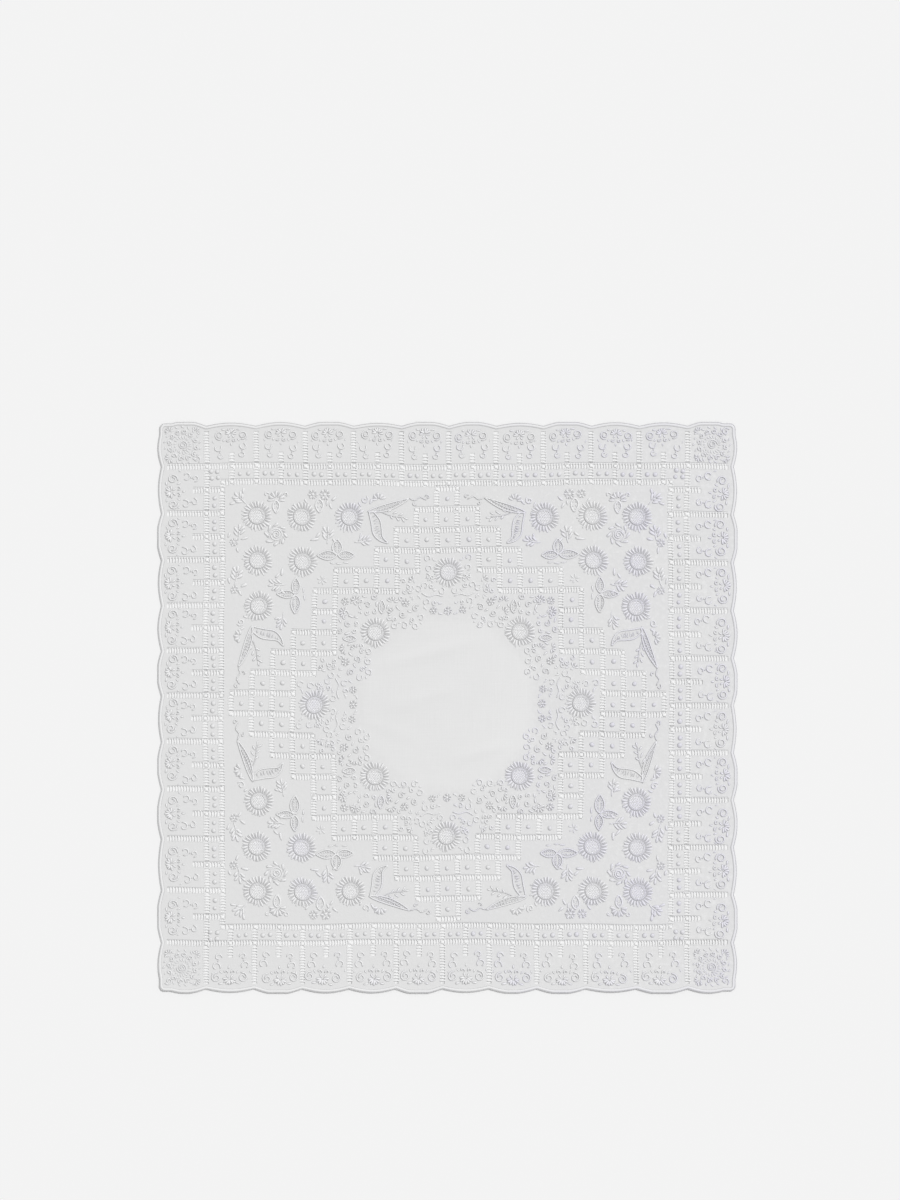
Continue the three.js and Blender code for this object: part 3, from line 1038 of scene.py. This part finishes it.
# %% The border panels
def posy():
    """One panel's bold and fine work: x along the side, y out from the outer frame."""
    half = Drawing()
    half.rope(spiral(3.6, 1.3, 1.35, 250) + (8.9, 21.2), 0.48)
    half.work(scroll(1.7, 0.9), 2.6, 17.2, 150)
    half.satin(5.6, 25.4, 8, 3.6, 1.5).satin(5.6, 17.4, -60, 2.8, 1.3)
    soft = Drawing()
    soft.rope(spiral(3.0, 1.7, 0.8, 150) + (9.9, 12.4), 0.48)
    soft.rope(spiral(2.5, 1.2, 0.9, 170) + (8.3, 6.2), 0.46)
    soft.rope(bent([(9.0, 9.6), (8.4, 8.9), (8.6, 8.2)]), 0.4).satin(12.8, 17.0, 70, 2.4, 1.1)
    whole = mirrored(half)
    whole.work(fan(7, 180, 0.4, 4.3, 1.6), 0, 22.2, 90)
    whole.satin(-1.4, 20.4, 240, 3.2, 1.5).satin(1.4, 20.4, 300, 3.2, 1.5).satin(0, 13.8, 90, 2.6, 1.5)
    return whole, mirrored(soft)


border = Drawing()
border_fine = Drawing()
PANEL_POSY = posy()
for side, turn in (("bottom", 180), ("right", -90), ("top", 0), ("left", 90)):
    facts = SIDES[side]
    room = (HALVES[OTHER[facts["along"]]] - abs(OUTER_FRAME[side])) / 34
    for panel in range(PANELS):
        middle = float(panel_line(side, panel + 0.5))
        foot = OUTER_FRAME[side] + 2.3 * facts["sign"]
        spot = in_order(facts["along"], middle, foot)
        for whole, part in zip((border, border_fine), PANEL_POSY):
            whole.work(part, *spot, turn, size=room, loose=1.0)


# %% The corner roses
ROSE_RINGS = [  # two radii, lean, length and width
    (5.3, 5.3, 25, 2.8, 1.1), (7.7, 7.7, 70, 2.5, 1.0), (12.6, 12.2, 48, 3.0, 1.2),
]


def corner_rose():
    """The bold work and the fine work of a corner square."""
    rose = Drawing()
    fine = Drawing().rope(spiral(3.8, 0.8, 2.2), 0.4)
    for turn in range(0, 360, 20):
        x, y = polar(1, turn)
        for out_x, out_y, lean, long, wide in ROSE_RINGS:
            fine.satin(out_x * x, out_y * y, turn + lean, long, wide)
    for turn in range(20, 380, 30):
        fine.work(scroll(2.0, 1.2), *polar(9.8, turn), turn + 90)
    for side_x, side_y in ((-1, -1), (-1, 1), (1, -1)):
        outward = math.degrees(math.atan2(side_y, side_x))
        rose.work(fan(5, 150, 0.6, 3.2, 1.2), side_x * 9.4, side_y * 9.0, outward)
    fine.work(scroll(3.0, 1.2), 9.6, 9.4, 30)
    return rose, fine


ROSE = corner_rose()
for side_x, side_y in CORNERS:
    x = SIDES[side_x]["sign"] * ((HALF_WIDTH + abs(OUTER_FRAME[side_x])) / 2 - 0.4)
    y = SIDES[side_y]["sign"] * ((HALF_DEPTH + abs(OUTER_FRAME[side_y])) / 2 - 0.4)
    for whole, part in zip((border, border_fine), ROSE):
        whole.work(part, x, y, 90 * len(side_x + side_y), size=0.98)

# %% [markdown]
# A corner field has six sunflowers, and between them seeded leaves, sprigs and small flowers. It is drawn
# once, up to the diagonal, then mirrored over it and worked in all four quarters. Softer sprays fill what
# is left. Those beside the frame are drawn whole, because on the real cloth they don't match.

# %% The corner fields
def half_field():
    """The work on one side of the diagonal, measured from the middle of the pattern."""
    field = Drawing()
    field.work(seeded_leaf(30, 4.4, 1.2, 10), 54.6, 132.8, 161)
    field.rope(bent([(54.4, 131.6), (46, 134.2), (38, 137.2), (31, 141.0)]), 0.42)
    field.work(free_leaf(
        [(54.0, 132.4), (52.4, 124.6), (51.2, 117.4), (46.9, 113.0), (41.2, 111.2)],
        [(50.8, 132.8), (46.6, 127.4), (45.4, 121.8), (44.8, 115.6), (41.6, 112.0)], 9,
    ))
    field.rope(bent([(26, 142.6), (22, 141.4), (18.4, 143.6), (14.4, 141.6)]), 0.42)
    field.work(scroll(1.7, 0.8), 22.6, 139.2, 200).work(scroll(1.9, 0.9), 13.4, 143.6, 20)
    field.work(sprig(17, 6, 4.2, 1.5), 47, 133.4, 194)
    return field


def half_sprays():
    """The softer sprays on one side of the diagonal."""
    part = Drawing().work(scroll(2.9, 1.2), 57.2, 140.8, 120)
    part.work(fan(5, 150, 1.0, 4.4, 1.9), 47.2, 140.6, 80)
    part.satin(52.4, 139.8, 120, 4.6, 1.9).satin(60.6, 137.6, 60, 3.8, 1.7)
    part.work(sprig(8.0, 5, 4.8, 1.9), 64.6, 111.6, 172).satin(60.2, 116.0, 110, 4.2, 1.7)
    part.work(sprig(7.6, 5, 5.4, 2.0), 83.6, 110.6, 96).satin(92.2, 113.4, 176, 6.4, 2.2)
    part.satin(89.6, 116.6, 140, 5.0, 1.9).satin(78.2, 112.6, 40, 5.0, 1.9)
    return part


def sprays_along_the_frame():
    """The softer flowers and sprays between the outer sunflowers and the inner frame."""
    part = Drawing().work(rosette(3.3), 93.0, 144.6).work(rosette(3.7), 84.6, 144.4)
    part.work(seeded_leaf(9.4, 5.2, 0, 3), 88.6, 141.4, -92).satin(78.2, 141.6, -40, 5.0, 2.1)
    part.satin(80.6, 136.4, 60, 4.6, 2.0).satin(97.8, 139.8, 50, 4.4, 1.8).satin(83.4, 138.6, 100, 4.0, 1.7)
    part.work(fan(7, 190, 1.4, 4.9, 1.9), 118.2, 140.4, 90)
    part.work(seeded_leaf(8.6, 4.6, 0, 3), 118.4, 139.8, -90)
    part.work(scroll(1.9, 0.9), 111.4, 144.0, 0).work(scroll(1.9, 0.9), 125.2, 144.0, 180, -1)
    part.work(rosette(3.0), 147.8, 111.0).work(sprig(6.6, 4, 5.4, 2.2), 145.0, 112.4, 98)
    part.satin(140.4, 113.6, 170, 5.4, 2.2).satin(145.6, 105.6, 80, 4.8, 2.0)
    part.satin(151.0, 116.0, 110, 4.6, 1.9)
    part.work(sprig(8.6, 5, 5.4, 2.3), 147.6, 81.6, 102).work(rosette(2.9), 147.4, 78.4)
    part.satin(141.4, 81.4, 150, 5.2, 2.2).satin(143.4, 76.0, 60, 4.8, 2.0).satin(151.4, 84.6, 70, 4.4, 1.9)
    return part


def rose_spray():
    """A round rose with its leaves."""
    part = Drawing().rope(spiral(3.4, 0.9, 1.8), 0.5).rope(circle(4.0), 0.36, True)
    ring_of(part.satins, range(0, 360, 45), 6.6, 52, 4.8, 2.1)
    # dark stitches between the leaves, as painted shade
    ring_of(part.gaps, np.arange(22.5, 360, 45), 5.6, 47.5, 3.2, 0.9)
    return part


DIAGONAL = {"x": 1.6, "y": -1.2, "heading": 90}
FIELD = mirrored(half_field(), **DIAGONAL)
SPRAYS = mirrored(half_sprays(), **DIAGONAL)
SPRAYS.work(sprays_along_the_frame()).work(rose_spray(), 118.6, 116.4)
SPRAYS.work(asterisk(3.3), 87.4, 85.8)
SPRAYS.work(sprig(6.6, 5, 5.2, 2.2), 139.4, 137.4, 45).satin(141.2, 146.4, 100, 4.8, 2.1)
SPRAYS.satin(148.4, 138.0, -10, 4.8, 2.1)
THREE_LEAVES = [  # x, y, heading, length, width
    (77.2, 102.8, 0, 13.4, 6.0), (76.2, 102.8, 180, 11.4, 5.6), (76.6, 103.2, 90, 10.8, 6.8),
    (105.8, 75.6, 0, 12.4, 5.0), (105.2, 75.2, -90, 12.8, 6.4), (105.2, 76.2, 90, 10.8, 5.4),
]
for x, y, turn, long, wide in THREE_LEAVES:
    FIELD.work(seeded_leaf(long, wide, 0, 6), x, y, turn)
SMALL_STITCHES = [(80.0, 97.4, 4), (75.4, 96.8, 0), (70.8, 97.6, 176), (99.8, 78.8, 95), (99.4, 73.6, 88)]
for x, y, turn in SMALL_STITCHES:
    FIELD.satin(x, y, turn, 4.4, 1.3)
fields = Drawing()
fields_fine = Drawing()
in_quarters(fields, FIELD)
in_quarters(fields_fine, SPRAYS)
print("field stitches:", len(fields.satins))

# %% [markdown]
# Between the ring of squares and the plain middle the work is close: rosettes in threes beside the four
# points, a sunflower in each eighth, and leaves, fans and curls. The ones that can be told apart are listed
# one by one, and a loose grid of small curls and stitches fills the room between them.

# %% The medallion
KEPT_CLEAR = [  # x, y and how far the close work keeps away
    (0, 91.5, 11.6), (49.9, 49.9, 11.8), (0, 64.8, 5.0), (10.2, 65.2, 5.0),
    (29.4, 70.6, 4.6), (71.1, 71.1, 4.6),
]
CURLS = [(18.6, 60.6), (14.8, 71.4), (4.6, 78.6), (16.4, 82.6), (20.6, 80.2), (14.2, 101.6), (13.4, 94.6)]
SPACING_X = 4.2
SPACING_Y = 3.7
NEAR_LADDER = 3.6


def in_medallion(x, y):
    """Whether a place between the stepped plain middle and the ring of squares is free for close work."""
    inner = min(min(RING.get(round(row / CELL), (0,))) for row in (y, y + NEAR_LADDER))
    clear = all(math.hypot(x - at_x, y - at_y) > away for at_x, at_y, away in KEPT_CLEAR)
    return clear and x < (inner - 0.5) * CELL - NEAR_LADDER and y > (52.5 if 18 < x < 42 else 61.0)


def eighth():
    """The work between an axis and a diagonal, up to which it is mirrored."""
    part = Drawing()
    part.work(rosette(2.6), 10.2, 65.2).work(rosette(2.9), 29.4, 70.6)
    part.work(seeded_leaf(9.2, 4.2, 0, 4), 45.4, 63.0, 88)
    part.work(fan(5, 150, 0.8, 3.4, 1.4), 38.6, 70.8, 100).work(fan(5, 160, 0.8, 3.4, 1.4), 63.6, 71.4, 60)
    part.work(scroll(2.7, 1.3), 31.4, 62.6, 200).work(fan(4, 120, 0.8, 3.2, 1.4), 38.2, 63.6, 30)
    part.work(scroll(2.7, 1.3), 22.4, 66.8, 140, -1).work(scroll(2.5, 1.2), 55.4, 68.6, 20)
    part.work(scroll(2.4, 1.2), 51.4, 74.2, 150).work(fan(3, 100, 0.6, 3.2, 1.4), 24.4, 86.0, 40)
    part.satin(34.6, 67.0, 50, 4.2, 1.6).satin(49.2, 69.2, 100, 4.4, 1.7).satin(60.6, 66.6, 70, 4.2, 1.6)
    part.satin(41.6, 67.6, 120, 4.0, 1.5).satin(26.6, 64.6, 30, 3.6, 1.4).satin(57.8, 74.0, 20, 3.8, 1.5)
    fine = Drawing().rope(bent([(4.0, 74.8), (8.6, 76.2), (13.6, 75.0), (18.4, 77.4)]), 0.4)
    for x, start in ((22.4, 200), (29.8, 60), (37.0, 150)):
        fine.rope(spiral(2.5, 1.2, 1.05, start) + (x, 54.9), 0.44).satin(x - 3.8, 56.6, start, 2.6, 1.2)
    for x, y in CURLS:
        fine.rope(spiral(2.2, 1.6, 0.85, 20 * x) + (x, y), 0.42)
    drawn = part.ropes + fine.ropes
    taken = [point for line, _, _ in drawn for point in line] + [row[:2] for row in part.satins]
    for row in range(50):
        for column in range(28):
            x = 3.2 + SPACING_X * (column + 0.5 * (row % 2)) + hand.normal(0, 0.5)
            y = 52.0 + SPACING_Y * row + hand.normal(0, 0.5)
            if x < 3.4 or y - x < 3.2 or not in_medallion(x, y):
                continue
            if min(np.hypot(*np.subtract(taken, (x, y)).T)) < (2.7 if x < 19 else 2.4):
                continue
            way = hand.uniform(0, 360)
            if hand.uniform() < 0.5:
                fine.satin(x, y, way, 3.2, 1.3).satin(x + 1.2, y + 0.9, way + 50, 2.6, 1.1)
            else:
                fine.work(scroll(2.0, 1.15), x, y, way)
    return part, fine


medallion = Drawing()
medallion_fine = Drawing()
for whole, part in zip((medallion, medallion_fine), eighth()):
    in_quarters(whole, mirrored(part, heading=90))
for first, out, radius in ((45, 100.6, 2.8), (0, 64.8, 2.9)):
    for turn in range(first, 360, 90):
        x, y = polar(out, turn)
        medallion.work(rosette(radius), x, PATTERN_Y + y, turn)
print("medallion stitches:", len(medallion.satins))

# %% [markdown]
# The bold work stands up in white with a deep painted shade at its foot; the fine work is softer, with less
# painted shade, as in old cloth where the thin lines have sunk. Each drawing becomes one piece of ropes,
# one of stitches, and for most one of dark gap stitches that paint the shade between them. One piece to a
# stitch would be thousands of objects, so all the stitches of a kind share a mesh.

# %% From drawings to pieces
def satin_rows(stitches):
    rows = np.array(stitches)
    rows[:, :2] += hand.normal(0, 0.12, (len(rows), 2))
    rows[:, 2] += hand.normal(0, 4, len(rows))
    rows[:, 3:] *= hand.normal(1, 0.07, (len(rows), 2))
    high = np.clip(0.42 * rows[:, 4], 0.3, 0.75)
    return np.column_stack([rows, high])


DRAWINGS = [  # name, drawing, and the flosses of its scrolls, its stitches and its gaps of painted shade
    ("border", border, "line_floss", "white_floss", "painted_shade_floss"),
    ("border_fine", border_fine, "fine_floss", "fine_floss", None),
    ("field", fields, "line_floss", "white_floss", "painted_shade_floss"),
    ("field_fine", fields_fine, "soft_floss", "soft_floss", "soft_painted_shade_floss"),
    ("medallion", medallion, "line_floss", "white_floss", "painted_shade_floss"),
    ("medallion_fine", medallion_fine, "soft_floss", "soft_floss", None),
]
for name, drawing, for_scrolls, for_stitches, for_gaps in DRAWINGS:
    rope_piece(f"{name}_scrolls", drawing.ropes, for_scrolls)
    joined_piece(f"{name}_stitches", copies(PETAL, satin_rows(drawing.satins)), for_stitches)
    # the gaps piece holds the dark stitches of painted shade
    if for_gaps:
        joined_piece(f"{name}_gaps", copies(PETAL, satin_rows(drawing.gaps)), for_gaps)

# %% [markdown]
# The triangles of all the pieces are counted.

total = sum(len(piece.data.loop_triangles) for piece in pieces)
print("triangles in all:", total)

# %% [markdown]
# The photograph is taken from straight above on a white table. Its light is soft and comes from the right
# and the top of the picture, so each thread is light on that side and dark on the other. A wide sun and a
# pale world give that with one shadow to each thread, where an area lamp would fade across the cloth.

# %% Table, light and camera
table_form = bmesh.new()
bmesh.ops.create_grid(table_form, x_segments=1, y_segments=1, size=4)
table_mesh = bpy.data.meshes.new("table")
table_form.to_mesh(table_mesh)
table_form.free()
_, table_shader = new_material("white_table", 0.9, 0.0)
table_shader.inputs["Base Color"].default_value = (0.92, 0.92, 0.92, 1)
table_shader.inputs["Specular IOR Level"].default_value = 0.0
table_mesh.materials.append(bpy.data.materials["white_table"])
table = in_scene("table", table_mesh)
table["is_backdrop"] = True

sun = bpy.data.lights.new("window_light", "SUN")
sun.energy = 1.9
sun.angle = math.radians(14)
in_scene("window_light", sun).rotation_euler = (math.radians(-28), math.radians(35), 0)

world = bpy.data.worlds.new("room")
world.use_nodes = True
world.node_tree.nodes["Background"].inputs["Color"].default_value = (1, 1, 1, 1)
world.node_tree.nodes["Background"].inputs["Strength"].default_value = 0.54
bpy.context.scene.world = world
bpy.context.scene.view_settings.view_transform = "Standard"

camera = bpy.data.cameras.new("camera")
camera.lens = 100
camera.sensor_width = 36
above = in_scene("camera", camera)
above.location = (0.0017, 0.0742, 2.3)
bpy.context.scene.camera = above

# %% [markdown]
# Last, the box of the dressed cloth is printed.

# %% Measure and finish
low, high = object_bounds()
print("box of the dressed cloth:", [round(v, 4) for v in (*low, *high)])
